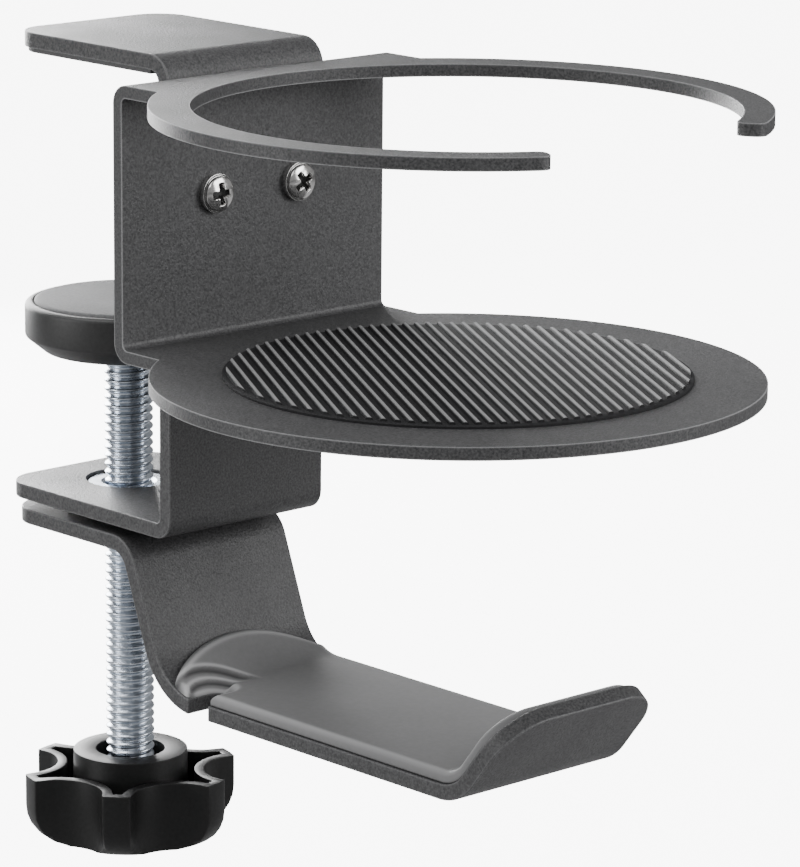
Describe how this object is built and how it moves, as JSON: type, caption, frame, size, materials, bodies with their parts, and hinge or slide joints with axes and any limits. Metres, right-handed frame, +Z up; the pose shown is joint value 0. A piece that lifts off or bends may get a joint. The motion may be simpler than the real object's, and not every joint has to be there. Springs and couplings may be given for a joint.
{
  "type": "desk clamp cup holder with headphone hook",
  "caption": "Screw clamp for a desk edge carrying an open ring and tray for a cup, with a padded headphone hook that swivels below it.",
  "frame": {"origin": "on the clamp screw's axis, in the face of the lip pad that lies on the desk top", "axes": "+Z up out of the desk top, +X from the desk edge out towards the cup, +Y across the bracket"},
  "size_m": [0.1424, 0.093, 0.1353],
  "materials": {
    "coated_steel": "fine matt graphite powder coat on bent sheet steel",
    "zinc_steel": "bright bluish zinc plate",
    "plated_screw": "bright nickel plate",
    "black_plastic": "satin moulded black",
    "mat_rubber": "matt ribbed black rubber",
    "grip_rubber": "fine grained grey-black rubber",
    "grey_silicone": "smooth satin grey silicone"
  },
  "bodies": {
    "frame": {"clamp_bracket": "coated_steel", "lip_pad": "grip_rubber", "cup_frame": "coated_steel", "cup_mat": "mat_rubber", "cup_screws": "plated_screw", "pivot_bush": "zinc_steel", "friction_washer": "black_plastic", "retaining_ring": "zinc_steel"},
    "hook": {"hook_arm": "coated_steel", "hook_pad": "grey_silicone"},
    "foot": {"foot_shell": "black_plastic", "foot_pad": "grip_rubber"},
    "screw": {"clamp_screw": "zinc_steel", "knob": "black_plastic", "knob_insert": "zinc_steel"}
  },
  "joints": [
    {"name": "hook_swivel", "type": "hinge", "parent": "frame", "child": "hook", "pos_m": [0, 0, -0.0763], "axis": [0, 0, 1], "continuous": true},
    {"name": "clamp_slide", "type": "slide", "parent": "frame", "child": "foot", "axis": [0, 0, 1], "range_m": [-0.021, 0.0364]},
    {"name": "screw_turn", "type": "hinge", "parent": "foot", "child": "screw", "pos_m": [0, 0, -0.045], "axis": [0, 0, 1], "range_deg": [-5400, 9360]}
  ],
  "couplings": [
    {"joint": "screw_turn", "follows": "clamp_slide", "rad_per_m": 4488}
  ]
}
